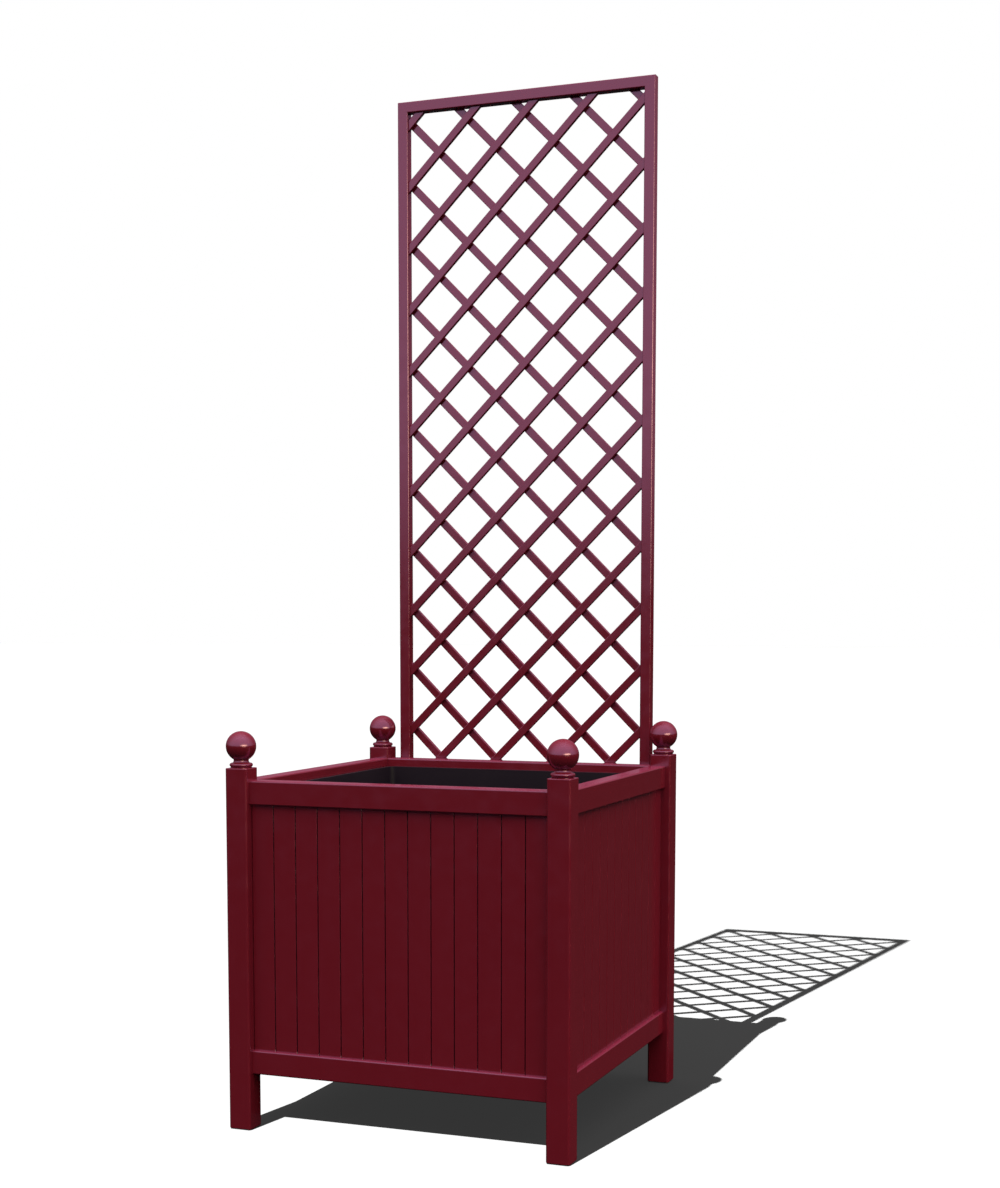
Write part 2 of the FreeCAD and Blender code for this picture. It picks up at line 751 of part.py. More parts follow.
def make_ledge(side):
    """Angle riveted to the bottom rail's inner face; the bearers lie on it."""
    name, turn, length, reach = side
    body = new_body(f"bearer_ledge_{name}", turn)
    inner = -reach + rail_inset
    section = new_sketch(body, "YZ_Plane")
    draw_outline(
        section,
        (
            (inner, ledge_bottom),
            (inner + ledge_wall, ledge_bottom),
            (inner + ledge_wall, ledge_top - ledge_wall),
            (inner + cell("ledge_leg"), ledge_top - ledge_wall),
            (inner + cell("ledge_leg"), ledge_top),
            (inner, ledge_top),
        ),
    )
    add_pad(body, section, length - cell("ledge_end_gap") * 2, symmetric=True)
    holes = new_sketch(body, "XZ_Plane", inner)
    draw_circles(holes, [(x, rivet_height) for x in rivet_places], screw_hole)
    add_pocket(body, holes, ledge_wall)


for side in SIDES:
    if side[0] in ("front", "back"):
        make_ledge(side)

ledge_rivets = new_body("ledge_rivets")
for side in (-1, 1):
    ledge_face = (rail_inner_y - ledge_wall) * side
    shanks = new_sketch(ledge_rivets, "XZ_Plane", ledge_face)
    draw_circles(shanks, [(x, rivet_height) for x in rivet_places], cell("screw_radius"))
    shank_length = ledge_wall + rail_wall + cell("rivet_tail")
    add_pad(ledge_rivets, shanks, shank_length, towards=side)
    heads = new_sketch(ledge_rivets, "XZ_Plane", ledge_face)
    draw_circles(heads, [(x, rivet_height) for x in rivet_places], cell("rivet_head_radius"))
    add_pad(ledge_rivets, heads, cell("rivet_head_thick"), towards=-side)

bearers = new_body("liner_bearers")
bearer_extent = cell("bearer_spacing") * (cell("bearer_count") - 1)
bearer_half = cell("bearer_width") / 2
bearer_wall = cell("bearer_wall")
bearer_section = new_sketch(bearers, "XZ_Plane")
draw_box(
    bearer_section,
    -bearer_extent / 2 - bearer_half,
    -bearer_extent / 2 + bearer_half,
    bearer_bottom,
    liner_bottom,
)
draw_box(
    bearer_section,
    -bearer_extent / 2 - bearer_half + bearer_wall,
    -bearer_extent / 2 + bearer_half - bearer_wall,
    bearer_bottom + bearer_wall,
    liner_bottom - bearer_wall,
)
bearer_length = (rail_inner_y - cell("bearer_end_gap")) * 2
first_bearer = add_pad(bearers, bearer_section, bearer_length, symmetric=True)
add_row(bearers, first_bearer, bearer_extent, cell("bearer_count"))

liner = new_body("liner")
liner_half_x = planter_width / 2 - rail_inset - cell("liner_gap")
liner_half_y = rail_inner_y - cell("liner_gap")
liner_wall = cell("liner_wall")
lip_reach = cell("lip_reach")
liner_round = cell("liner_round")
tub = new_sketch(liner, "XY_Plane", liner_bottom)
draw_rounded_box(tub, liner_half_x, liner_half_y, liner_round)
add_pad(liner, tub, liner_top - liner_bottom)
lip = new_sketch(liner, "XY_Plane", liner_top)
draw_rounded_box(lip, liner_half_x + lip_reach, liner_half_y + lip_reach, liner_round + lip_reach)
add_pad(liner, lip, cell("lip_thick"), towards=-1)
hollow = new_sketch(liner, "XY_Plane", liner_top)
draw_rounded_box(
    hollow, liner_half_x - liner_wall, liner_half_y - liner_wall, liner_round - liner_wall
)
add_pocket(liner, hollow, liner_top - liner_bottom - liner_wall, towards=-1)
drains = new_sketch(liner, "XY_Plane", liner_bottom)
for sign in (-1, 1):
    for y in centred(cell("drain_spacing"), cell("drain_count")):
        draw_circle(drains, cell("drain_across") / 2 * sign, y, cell("drain_radius"))
add_pocket(liner, drains, liner_wall)

# ---------------------------------------------------------------- trellis frame

half_width = trellis_width / 2
trellis_top = cell("trellis_top")
trellis_foot = cell("trellis_foot")
window_half = half_width - trellis_tube
window_top = trellis_top - trellis_tube
window_bottom = trellis_foot + trellis_tube
trellis_wall = cell("trellis_wall")


def make_stile(name, sign):
    """Upright of the trellis frame: square tube, mitred at both ends."""
    body = new_body(name)
    outside = new_sketch(body, "XY_Plane", trellis_foot)
    draw_box(outside, half_width * sign, window_half * sign, trellis_front, trellis_back)
    height = trellis_top - trellis_foot
    tube = add_pad(body, outside, height)
    round_edges(body, tube, cell("trellis_round"), runs_along(ALONG_Z))
    inside = new_sketch(body, "XY_Plane", trellis_foot)
    draw_box(
        inside,
        (half_width - trellis_wall) * sign,
        (window_half + trellis_wall) * sign,
        trellis_front + trellis_wall,
        trellis_back - trellis_wall,
    )
    add_pocket(body, inside, height)
    mitres = new_sketch(body, "XZ_Plane", trellis_front)
    for outer, inner in ((trellis_top, window_top), (trellis_foot, window_bottom)):
        tips = ((half_width, outer), (window_half, outer), (window_half, inner))
        draw_outline(mitres, [(x * sign, z) for x, z in tips])
    add_pocket(body, mitres, trellis_tube)
    holes = new_sketch(body, "XZ_Plane", trellis_front)
    for height in (bottom_screw_height, top_screw_height):
        draw_circle(holes, bolt_across * sign, height, cell("bolt_radius") + cell("bolt_slack"))
    add_pocket(body, holes, trellis_tube)


def make_trellis_rail(name, outer, inner):
    """Cross tube of the trellis frame, mitred to the two stiles."""
    body = new_body(name)
    inward = 1 if outer.number < inner.number else -1
    outside = new_sketch(body, "YZ_Plane", -half_width)
    draw_box(outside, trellis_front, trellis_back, outer, inner)
    tube = add_pad(body, outside, half_width * 2)
    round_edges(body, tube, cell("trellis_round"), runs_along(ALONG_X))
    inside = new_sketch(body, "YZ_Plane", -half_width)
    draw_box(
        inside,
        trellis_front + trellis_wall,
        trellis_back - trellis_wall,
        outer + trellis_wall * inward,
        inner - trellis_wall * inward,
    )
    add_pocket(body, inside, half_width * 2)
    mitres = new_sketch(body, "XZ_Plane", trellis_front)
    for sign in (-1, 1):
        tips = ((half_width, outer), (half_width, inner), (window_half, inner))
        draw_outline(mitres, [(x * sign, z) for x, z in tips])
    add_pocket(body, mitres, trellis_tube)


make_stile("trellis_stile_left", -1)
make_stile("trellis_stile_right", 1)
make_trellis_rail("trellis_top_rail", trellis_top, window_top)
make_trellis_rail("trellis_bottom_rail", trellis_foot, window_bottom)

# ---------------------------------------------------------------- lattice

SLANT = 45
SLANT_SINE = math.sin(math.radians(SLANT))
lattice_anchor = trellis_top - cell("lattice_drop")
lattice_pitch = cell("lattice_pitch")
lattice_half = cell("lattice_width") / 2
lattice_thick = cell("lattice_thick")


def make_lattice(name, slope, front):
    """One layer of slanting bars, all cut off along the inside of the frame."""
    body = new_body(name, -SLANT * slope, ALONG_Y, z=lattice_anchor)
    window_sides = (window_half * -slope, window_half * slope)
    window_ends = (window_bottom - lattice_anchor, window_top - lattice_anchor)

    def turned(x, z):
        return (x + z * slope) * SLANT_SINE, (z - x * slope) * SLANT_SINE

    window = (
        turned(window_sides[0], window_ends[0]),
        turned(window_sides[1], window_ends[0]),
        turned(window_sides[1], window_ends[1]),
        turned(window_sides[0], window_ends[1]),
    )
    left = min((x for x, z in window), key=number_of)
    right = max((x for x, z in window), key=number_of)
    low = min((z for x, z in window), key=number_of)
    high = max((z for x, z in window), key=number_of)
    below = whole((lattice_half - low) / lattice_pitch)
    above = whole((high + lattice_half) / lattice_pitch)
    section = new_sketch(body, "YZ_Plane", left)
    start = -lattice_pitch * below
    draw_box(section, front, front + lattice_thick, start - lattice_half, start + lattice_half)
    bar = add_pad(body, section, right - left)
    round_edges(body, bar, cell("lattice_round"), runs_along(ALONG_X))
    add_row(body, bar, lattice_pitch * (below + above), below + above + 1, "Z_Axis", "Whole shape")
    trim = new_sketch(body, "XZ_Plane", front)
    margin = lattice_pitch
    draw_box(trim, left - margin, right + margin, low - margin, high + margin)
    draw_outline(trim, window)
    add_pocket(body, trim, lattice_thick)


make_lattice("lattice_bars_front", 1, trellis_back - lattice_thick * 2)
make_lattice("lattice_bars_back", -1, trellis_back - lattice_thick)

# ---------------------------------------------------------------- trellis fixings

flange_face = back_rail_face + cell("insert_flange_thick")

inserts = new_body("trellis_inserts")
barrels = new_sketch(inserts, "XZ_Plane", back_rail_face)
draw_circles(barrels, bolt_places, cell("insert_radius"))
add_pad(inserts, barrels, cell("insert_length"), towards=-1)
flanges = new_sketch(inserts, "XZ_Plane", back_rail_face)
draw_circles(flanges, bolt_places, cell("insert_flange_radius"))
add_pad(inserts, flanges, cell("insert_flange_thick"))
bores = new_sketch(inserts, "XZ_Plane", flange_face)
draw_circles(bores, bolt_places, cell("bolt_radius") + cell("insert_slack"))
bore_length = cell("insert_length") + cell("insert_flange_thick")
add_pocket(inserts, bores, bore_length, towards=-1)

spacers = new_body("trellis_spacers")
rings = new_sketch(spacers, "XZ_Plane", flange_face)
draw_circles(rings, bolt_places, cell("spacer_radius"))
draw_circles(rings, bolt_places, cell("bolt_radius") + cell("bolt_slack"))
add_pad(spacers, rings, cell("trellis_gap") - cell("insert_flange_thick"))

bolts = new_body("trellis_bolts")
bolt_heads = new_sketch(bolts, "XZ_Plane", trellis_back)
draw_circles(bolt_heads, bolt_places, cell("bolt_head_radius"))
add_pad(bolts, bolt_heads, cell("bolt_head_thick"))
bolt_shanks = new_sketch(bolts, "XZ_Plane", trellis_back)
draw_circles(bolt_shanks, bolt_places, cell("bolt_radius"))
add_pad(bolts, bolt_shanks, trellis_tube + cell("trellis_gap") + cell("bolt_end"), towards=-1)

# ---------------------------------------------------------------- check and write

doc.recompute()
for thing in doc.Objects:
    if "Invalid" in thing.State or "Error" in thing.State:
        raise RuntimeError(f"{thing.Label} is {thing.State}")
for body in sub_parts:
    if body.Shape.isNull() or not body.Shape.isValid():
        raise RuntimeError(f"{body.Label} has no sound shape")

os.makedirs("parts", exist_ok=True)
for body in sub_parts:
    body.Shape.exportStep(f"parts/{body.Label}.step")
    print(body.Label, len(body.Shape.Solids), round(body.Shape.Volume / 1000, 1), "cm3")
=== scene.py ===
import math

import bmesh
import bpy
from mathutils import Matrix, Vector


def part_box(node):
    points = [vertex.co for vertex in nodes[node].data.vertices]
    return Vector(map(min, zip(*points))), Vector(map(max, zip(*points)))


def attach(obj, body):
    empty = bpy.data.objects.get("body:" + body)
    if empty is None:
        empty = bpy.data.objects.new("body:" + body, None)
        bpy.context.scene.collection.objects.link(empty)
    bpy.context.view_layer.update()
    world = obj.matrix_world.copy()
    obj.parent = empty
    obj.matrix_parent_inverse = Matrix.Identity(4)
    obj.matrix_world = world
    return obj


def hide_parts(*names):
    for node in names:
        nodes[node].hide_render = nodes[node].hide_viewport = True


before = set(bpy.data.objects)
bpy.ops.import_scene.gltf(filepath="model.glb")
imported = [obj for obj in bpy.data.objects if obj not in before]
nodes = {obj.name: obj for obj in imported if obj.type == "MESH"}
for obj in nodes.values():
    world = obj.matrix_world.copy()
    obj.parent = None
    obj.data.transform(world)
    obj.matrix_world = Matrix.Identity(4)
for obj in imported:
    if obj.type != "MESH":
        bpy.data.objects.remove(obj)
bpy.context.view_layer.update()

# --------------------------------------------------------------------------------------------------
# Light: a soft dome, brightest overhead, behind which the eye sees plain white. The gloss of the
# paint mirrors a room of its own instead: bright in front, dim behind, dark below the horizon, and
# with one warm window to the right.

WHITE = (1.0, 1.0, 1.0, 1.0)

# The dome grows stronger from the horizon to the top, and leans a little to the right.
SKY_TINT = (1.0, 0.985, 0.985, 1.0)
SKY_AT_HORIZON = 0.48
SKY_OVERHEAD = 6.7
SKY_GATHERING = 2.0
SKY_LEAN = (0.38, 0.0, 0.0)


def add_node(tree, kind, sockets=None, **settings):
    """One shader node, its settings, and what its sockets hold or are linked to."""
    node = tree.nodes.new(kind)
    for key, value in settings.items():
        setattr(node, key, value)
    for key, value in (sockets or {}).items():
        if isinstance(value, bpy.types.NodeSocket):
            tree.links.new(value, node.inputs[key])
        else:
            node.inputs[key].default_value = value
    return node


def calculate(tree, operation, *values):
    """The result of an operation on numbers."""
    node = add_node(tree, "ShaderNodeMath", dict(enumerate(values)), operation=operation)
    return node.outputs[0]


def compare(tree, operation, direction, other):
    """How far a direction agrees with another one, or how far apart two places lie."""
    node = add_node(tree, "ShaderNodeVectorMath", {0: direction, 1: other}, operation=operation)
    return node.outputs["Value"]


def sky_light(colour, strength):
    """Light that comes in from all round."""
    light = add_node(sky, "ShaderNodeBackground", {"Color": colour, "Strength": strength})
    return light.outputs[0]


world = bpy.data.worlds.new("studio")
bpy.context.scene.world = world
world.use_nodes = True
sky = world.node_tree
sky.nodes.clear()
direction = add_node(sky, "ShaderNodeTexCoord").outputs["Generated"]
height = add_node(sky, "ShaderNodeSeparateXYZ", {0: direction}).outputs["Z"]

above = calculate(sky, "MAXIMUM", height, 0.0)
gathered = calculate(sky, "POWER", above, SKY_GATHERING)
dome = calculate(sky, "MULTIPLY_ADD", gathered, SKY_OVERHEAD, SKY_AT_HORIZON)
lean = calculate(sky, "ADD", compare(sky, "DOT_PRODUCT", direction, SKY_LEAN), 1.0)
dome_light = sky_light(SKY_TINT, calculate(sky, "MULTIPLY", dome, lean))

# The mirrored room turns from its dim back to its bright front, and fades at the horizon.
ROOM_FRONT = (0.37, -0.93, 0.0)
ROOM_TURN = (-0.7, 0.5)
ROOM_BEHIND = (0.28, 0.16, 0.22, 1.0)
ROOM_RISE = (0.01, 0.095)


def spread(tree, value, span, results, easing="LINEAR"):
    """Takes a value from its span to the span of the results."""
    return add_node(tree, "ShaderNodeMapRange", {
        "Value": value,
        "From Min": span[0],
        "From Max": span[1],
        "To Min": results[0],
        "To Max": results[1],
    }, interpolation_type=easing).outputs["Result"]


def mixed(tree, share, first, second):
    """The first colour where the share is 0, and the second where it is 1."""
    # Sockets 6 and 7 hold the two colours, and output 2 their mix.
    return add_node(tree, "ShaderNodeMix", {
        "Factor": share, 6: first, 7: second,
    }, data_type="RGBA").outputs[2]


facing = compare(sky, "DOT_PRODUCT", direction, ROOM_FRONT)
room_colour = mixed(
    sky, spread(sky, facing, ROOM_TURN, (0.0, 1.0), "SMOOTHSTEP"), ROOM_BEHIND, WHITE
)
room_light = sky_light(room_colour, spread(sky, height, ROOM_RISE, (0.0, 1.0), "SMOOTHSTEP"))

# The mirrored window is a wide, low oval with a soft edge, a little above the horizon.
WINDOW_STRETCH = (0.6, 0.6, 2.6)
WINDOW_PLACE = (0.456, -0.378, 0.36)
WINDOW_EDGE = (0.08, 0.36)
WINDOW_STRENGTH = 9.0
WINDOW_TINT = (1.0, 0.98, 0.40, 1.0)

stretched = add_node(
    sky, "ShaderNodeVectorMath", {0: direction, 1: WINDOW_STRETCH}, operation="MULTIPLY"
)
from_window = compare(sky, "DISTANCE", stretched.outputs["Vector"], WINDOW_PLACE)
window_light = sky_light(
    WINDOW_TINT, spread(sky, from_window, WINDOW_EDGE, (WINDOW_STRENGTH, 0.0), "SMOOTHSTEP")
)

SEEN_RAYS = ("Is Camera Ray", "Is Transmission Ray")
GLOSSY_RAYS = ("Is Glossy Ray",)


def split_rays(tree, kinds, for_others, for_these):
    """One shader for rays of these kinds, and another for the rest."""
    path = add_node(tree, "ShaderNodeLightPath")
    share = path.outputs[kinds[0]]
    for kind in kinds[1:]:
        share = calculate(tree, "MAXIMUM", share, path.outputs[kind])
    split = add_node(tree, "ShaderNodeMixShader", {0: share, 1: for_others, 2: for_these})
    return split.outputs[0]


mirrored = add_node(sky, "ShaderNodeAddShader", {0: room_light, 1: window_light}).outputs[0]
unseen = split_rays(sky, GLOSSY_RAYS, dome_light, mirrored)
whole_sky = split_rays(sky, SEEN_RAYS, unseen, sky_light(WHITE, 1.0))
add_node(sky, "ShaderNodeOutputWorld", {"Surface": whole_sky})

# --------------------------------------------------------------------------------------------------
# Floor: a seamless white floor. The shadow lamp lights the floor alone, and draws the shadow of
# planter and trellis on it. Rays that don't go to the eye find the floor nearly black.

FLOOR_REACH = 60.0
FLOOR_GREY = (0.006, 0.006, 0.006, 1.0)
FLOOR_GLOW = 0.0325
FLOOR_UNSEEN_GREY = (0.0001, 0.0001, 0.0001, 1.0)
SHADOW_LAMP_POWER = 730.0
SHADOW_LAMP_ANGLE = math.radians(0.3)
SHADOW_TRAVEL = Vector((0.126, 0.927, -1.0))


def new_finish(name):
    """An empty material and its node tree."""
    finish = bpy.data.materials.new(name)
    finish.use_nodes = True
    finish.node_tree.nodes.clear()
    return finish, finish.node_tree


floor_mesh = bpy.data.meshes.new("floor")
bm = bmesh.new()
bmesh.ops.create_grid(bm, x_segments=1, y_segments=1, size=FLOOR_REACH)
bm.to_mesh(floor_mesh)
bm.free()
floor = bpy.data.objects.new("floor", floor_mesh)
bpy.context.scene.collection.objects.link(floor)

floor_finish, tree = new_finish("floor_finish")
paint = add_node(tree, "ShaderNodeBsdfDiffuse", {"Color": FLOOR_GREY}).outputs[0]
glow = add_node(tree, "ShaderNodeEmission", {"Color": WHITE, "Strength": FLOOR_GLOW}).outputs[0]
seen_floor = add_node(tree, "ShaderNodeAddShader", {0: paint, 1: glow}).outputs[0]
unseen_floor = add_node(tree, "ShaderNodeBsdfDiffuse", {"Color": FLOOR_UNSEEN_GREY}).outputs[0]
add_node(tree, "ShaderNodeOutputMaterial", {
    "Surface": split_rays(tree, SEEN_RAYS, unseen_floor, seen_floor),
})
floor_mesh.materials.append(floor_finish)

shadow_lamp = bpy.data.lights.new("shadow_lamp", "SUN")
shadow_lamp.energy = SHADOW_LAMP_POWER
shadow_lamp.angle = SHADOW_LAMP_ANGLE
shadow_lamp_object = bpy.data.objects.new("shadow_lamp", shadow_lamp)
shadow_lamp_object.rotation_euler = SHADOW_TRAVEL.to_track_quat("-Z", "Y").to_euler()
bpy.context.scene.collection.objects.link(shadow_lamp_object)
lit_by_shadow_lamp = bpy.data.collections.new("lit_by_shadow_lamp")
lit_by_shadow_lamp.objects.link(floor)
shadow_lamp_object.light_linking.receiver_collection = lit_by_shadow_lamp

# --------------------------------------------------------------------------------------------------
# Camera: to the right of the front, a little above the planter's rim and tilted slightly down, with
# its lens shifted up so that the whole trellis is in the picture.

CAMERA_PLACE = (1.204455, -2.971289, 0.840716)
CAMERA_TURN = 0.3737322
CAMERA_TILT = -0.0921678
CAMERA_SENSOR = 36.0
CAMERA_LENS = 56.097
CAMERA_SHIFT = (0.012486, 0.168810)

camera_data = bpy.data.cameras.new("camera")
camera_data.sensor_fit = "VERTICAL"
camera_data.sensor_height = CAMERA_SENSOR
camera_data.lens = CAMERA_LENS
camera_data.shift_x, camera_data.shift_y = CAMERA_SHIFT
camera = bpy.data.objects.new("camera", camera_data)
camera.location = CAMERA_PLACE
camera.rotation_euler = (math.pi / 2 + CAMERA_TILT, 0.0, CAMERA_TURN)
bpy.context.scene.collection.objects.link(camera)
bpy.context.scene.camera = camera
bpy.context.scene.view_settings.view_transform = "Standard"

# --------------------------------------------------------------------------------------------------
# Posts: four square aluminium tubes with rounded corners, which reach from the floor past the top
# rails. Like every outer piece they are powder coated in a satin wine red: a sprayed film that lies
# a little uneven, like fine orange peel, and runs round the edges without wear.

CORNERS = ("front_left", "front_right", "back_right", "back_left")


def linear(red, green, blue):
    """A colour given as on a screen, 0 to 255, in the linear values that shaders take."""
    parts = []
    for value in (red, green, blue):
        part = value / 255.0
        parts.append(part / 12.92 if part <= 0.04045 else ((part + 0.055) / 1.055) ** 2.4)
    return (*parts, 1.0)


WINE = linear(88, 16, 24)
WINE_DEEP = linear(83, 13, 21)
# Painted sheen: the paler, pinker colour painted on faces that look up, standing in for the sky
# light they mirror.
WINE_PAINTED_TOP_SHEEN = linear(98, 18, 36)
GLOSS_TINT = (1.0, 0.55, 0.97, 1.0)
SATIN = 0.16
PAINT_IOR = 1.6
PAINT_SPECULAR = 1.0
# How far up a face must look for the painted sheen to begin, and where it is full.
TOP_SHEEN_SPAN = (0.75, 1.0)

# Each noise is given as its scale, detail and roughness, and each relief as strength and depth.
TONE_DRIFT = (5.0, 3.0, 0.55)
FILM_DRIFT = (38.0, 2.0, 0.5)
FILM_UNEVEN = (-0.03, 0.04)
ORANGE_PEEL = (620.0, 2.0, 0.45)
ORANGE_PEEL_RELIEF = (0.35, 0.00006)
NOISE_SPAN = (0.3, 0.7)


def noise(tree, place, kind):
    """A soft random pattern, from 0 to 1."""
    scale, detail, roughness = kind
    return add_node(tree, "ShaderNodeTexNoise", {
        "Vector": place, "Scale": scale, "Detail": detail, "Roughness": roughness,
    }).outputs["Fac"]


def uneven_gloss(tree, pattern, roughness, unevenness):
    """A roughness that wanders with a pattern."""
    least, most = unevenness
    return spread(tree, pattern, NOISE_SPAN, (roughness + least, roughness + most))


def fine_relief(tree, height, kind):
    """The slant of a surface with a relief too fine to model."""
    strength, depth = kind
    return add_node(tree, "ShaderNodeBump", {
        "Strength": strength, "Distance": depth, "Height": height,
    }).outputs["Normal"]


def give_skin(tree, sockets):
    """Ends a finish with its surface shader."""
    skin = add_node(tree, "ShaderNodeBsdfPrincipled", sockets)
    add_node(tree, "ShaderNodeOutputMaterial", {"Surface": skin.outputs[0]})


def powder_coat(name, roughness=SATIN, top_sheen=1.0):
    """Sprayed and baked paint: a slow drift of tone, fine orange peel, an even satin gloss, and a
    painted sheen, a paler and pinker tone on faces that look straight up, for the light they
    mirror."""
    finish, tree = new_finish(name)
    place = add_node(tree, "ShaderNodeTexCoord").outputs["Object"]
    tone = mixed(tree, noise(tree, place, TONE_DRIFT), WINE_DEEP, WINE)
    normal = add_node(tree, "ShaderNodeNewGeometry").outputs["Normal"]
    upward = add_node(tree, "ShaderNodeSeparateXYZ", {0: normal}).outputs["Z"]
    # Painted sheen: faces that look up are painted paler and pinker, as if lit and mirrored from
    # above.
    top_sheen_share = spread(tree, upward, TOP_SHEEN_SPAN, (0.0, top_sheen))
    film = noise(tree, place, FILM_DRIFT)
    peel = noise(tree, place, ORANGE_PEEL)
    give_skin(tree, {
        "Base Color": mixed(tree, top_sheen_share, tone, WINE_PAINTED_TOP_SHEEN),
        "Roughness": uneven_gloss(tree, film, roughness, FILM_UNEVEN),
        "IOR": PAINT_IOR,
        "Specular IOR Level": PAINT_SPECULAR,
        "Specular Tint": GLOSS_TINT,
        "Normal": fine_relief(tree, peel, ORANGE_PEEL_RELIEF),
    })
    return finish


def paint_nodes(finish, *names):
    """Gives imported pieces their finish."""
    for name in names:
        if not nodes[name].material_slots:
            nodes[name].data.materials.append(finish)
        for material_slot in nodes[name].material_slots:
            material_slot.material = finish


post_paint = powder_coat("post_paint")
paint_nodes(post_paint, *("post_" + corner for corner in CORNERS))

# --------------------------------------------------------------------------------------------------
# Foot plugs: black plugs of moulded plastic, pushed into the lower ends of the posts. The planter
# stands on them.

PLUG_BLACK = linear(30, 27, 30)
PLUG_ROUGHNESS = 0.55
PLUG_GRAIN = 900.0
PLASTIC_FLOW = (9.0, 3.0, 0.6)
PLASTIC_DARK_SHARE = 0.8
PLASTIC_UNEVEN = (-0.04, 0.05)
PLASTIC_RELIEF = (0.3, 0.00008)
PLASTIC_SPECULAR = 0.35


def darkened(colour, share):
    """A colour with this share of its brightness."""
    return (*(part * share for part in colour[:3]), 1.0)


def moulded_plastic(name, colour, roughness, grain, specular=PLASTIC_SPECULAR):
    """Moulded plastic with the fine spark-eroded grain of its mould."""
    finish, tree = new_finish(name)
    place = add_node(tree, "ShaderNodeTexCoord").outputs["Object"]
    flow = noise(tree, place, PLASTIC_FLOW)
    pits = add_node(tree, "ShaderNodeTexVoronoi", {"Vector": place, "Scale": grain})
    give_skin(tree, {
        "Base Color": mixed(tree, flow, darkened(colour, PLASTIC_DARK_SHARE), colour),
        "Roughness": uneven_gloss(tree, flow, roughness, PLASTIC_UNEVEN),
        "Specular IOR Level": specular,
        "Normal": fine_relief(tree, pits.outputs["Distance"], PLASTIC_RELIEF),
    })
    return finish


foot_plastic = moulded_plastic("foot_plastic", PLUG_BLACK, PLUG_ROUGHNESS, PLUG_GRAIN)
paint_nodes(foot_plastic, *("foot_plug_" + corner for corner in CORNERS))

# --------------------------------------------------------------------------------------------------
# Post caps: flat cast aluminium plates with rounded edges that close the posts at the top. A plug
# inside the tube holds each one, and its middle takes the stud of the finial.

paint_nodes(post_paint, *("post_cap_" + corner for corner in CORNERS))

# --------------------------------------------------------------------------------------------------
# Finials: turned aluminium balls on a rounded ring and a hollowed neck, one on each post, painted
# in the same red but glossier. Each is turned in one piece with the stud that screws into its cap.

FINIAL_STEPS = 96
FINIAL_GLOSS = 0.14
STUD_LENGTH = 0.018
STUD_RADIUS = 0.0040
STUD_CHAMFER = 0.0008
BASE_RADIUS = 0.0175
BASE_THICK = 0.0018
BASE_ROUNDING = 0.0003
RING_SEAT = 0.0162
HARD_ANGLE = 35.0
MERGE_DISTANCE = 1e-6

# Each arc is given as its middle, radius, first and last angle, and steps.
RING_ARC = ((0.0160, 0.0050), 0.0032, -90, 90, 16)
NECK_ARC = ((0.0160, 0.0117), 0.0035, -90, -180, 8)
BALL_ARC = ((0.0, 0.0355), 0.0250, -60, 90, 44)


def arc_points(middle, radius, start, end, count):
    """Points of a turned profile's arc, as distance from the axis and height."""
    out, up = middle
    points = []
    for step in range(count + 1):
        angle = math.radians(start + (end - start) * step / count)
        points.append((out + radius * math.cos(angle), up + radius * math.sin(angle)))
    return points


def turn_profile(profile, steps):
    """A shape turned on the Z axis from its profile."""
    bm = bmesh.new()
    points = [bm.verts.new((radius, 0.0, height)) for radius, height in profile]
    lines = [bm.edges.new(pair) for pair in zip(points, points[1:])]
    bmesh.ops.spin(
        bm, geom=points + lines, cent=(0, 0, 0), axis=(0, 0, 1),
        angle=math.tau, steps=steps, use_merge=True,
    )
    bmesh.ops.remove_doubles(bm, verts=bm.verts, dist=MERGE_DISTANCE)
    return bm


def finished_mesh(bm, name, hard_angle):
    """The mesh of a closed shape, smooth but for the edges sharper than the angle."""
    bmesh.ops.recalc_face_normals(bm, faces=bm.faces)
    for face in bm.faces:
        face.smooth = True
    for edge in bm.edges:
        edge.smooth = edge.calc_face_angle(0.0) < math.radians(hard_angle)
    mesh = bpy.data.meshes.new(name)
    bm.to_mesh(mesh)
    bm.free()
    return mesh


def place_piece(name, mesh, body, finish):
    """The piece's object, with its finish, riding on its body."""
    piece = bpy.data.objects.new(name, mesh)
    bpy.context.scene.collection.objects.link(piece)
    mesh.materials.clear()
    mesh.materials.append(finish)
    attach(piece, body)
    return piece


finial_profile = [
    (0.0, -STUD_LENGTH),
    (STUD_RADIUS - STUD_CHAMFER, -STUD_LENGTH),
    (STUD_RADIUS, STUD_CHAMFER - STUD_LENGTH),
    (STUD_RADIUS, 0.0),
    (BASE_RADIUS - BASE_ROUNDING, 0.0),
    (BASE_RADIUS, BASE_ROUNDING),
    (BASE_RADIUS, BASE_THICK - BASE_ROUNDING),
    (BASE_RADIUS - BASE_ROUNDING, BASE_THICK),
    (RING_SEAT, BASE_THICK),
]
finial_profile += arc_points(*RING_ARC)
finial_profile += arc_points(*NECK_ARC)[1:]
finial_profile += arc_points(*BALL_ARC)

# The finials get no painted sheen on their upper faces.
finial_paint = powder_coat("finial_paint", FINIAL_GLOSS, top_sheen=0.0)

for corner in CORNERS:
    low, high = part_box("finial_" + corner)
    middle = (low + high) / 2
    name = "turned_finial_" + corner
    mesh = finished_mesh(turn_profile(finial_profile, FINIAL_STEPS), name, HARD_ANGLE)
    mesh.transform(Matrix.Translation((middle.x, middle.y, low.z + STUD_LENGTH)))
    finial = place_piece(name, mesh, "planter", finial_paint)
    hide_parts("finial_" + corner)

# --------------------------------------------------------------------------------------------------
# Rails: extruded aluminium box sections with rounded edges, one at the bottom and one at the top of
# each side. They push onto connectors between the posts, and their channels hold the boards.

SIDES = ("front", "right", "back", "left")

rail_paint = powder_coat("rail_paint")
paint_nodes(rail_paint, *("bottom_rail_" + side for side in SIDES))
paint_nodes(rail_paint, *("top_rail_" + side for side in SIDES))
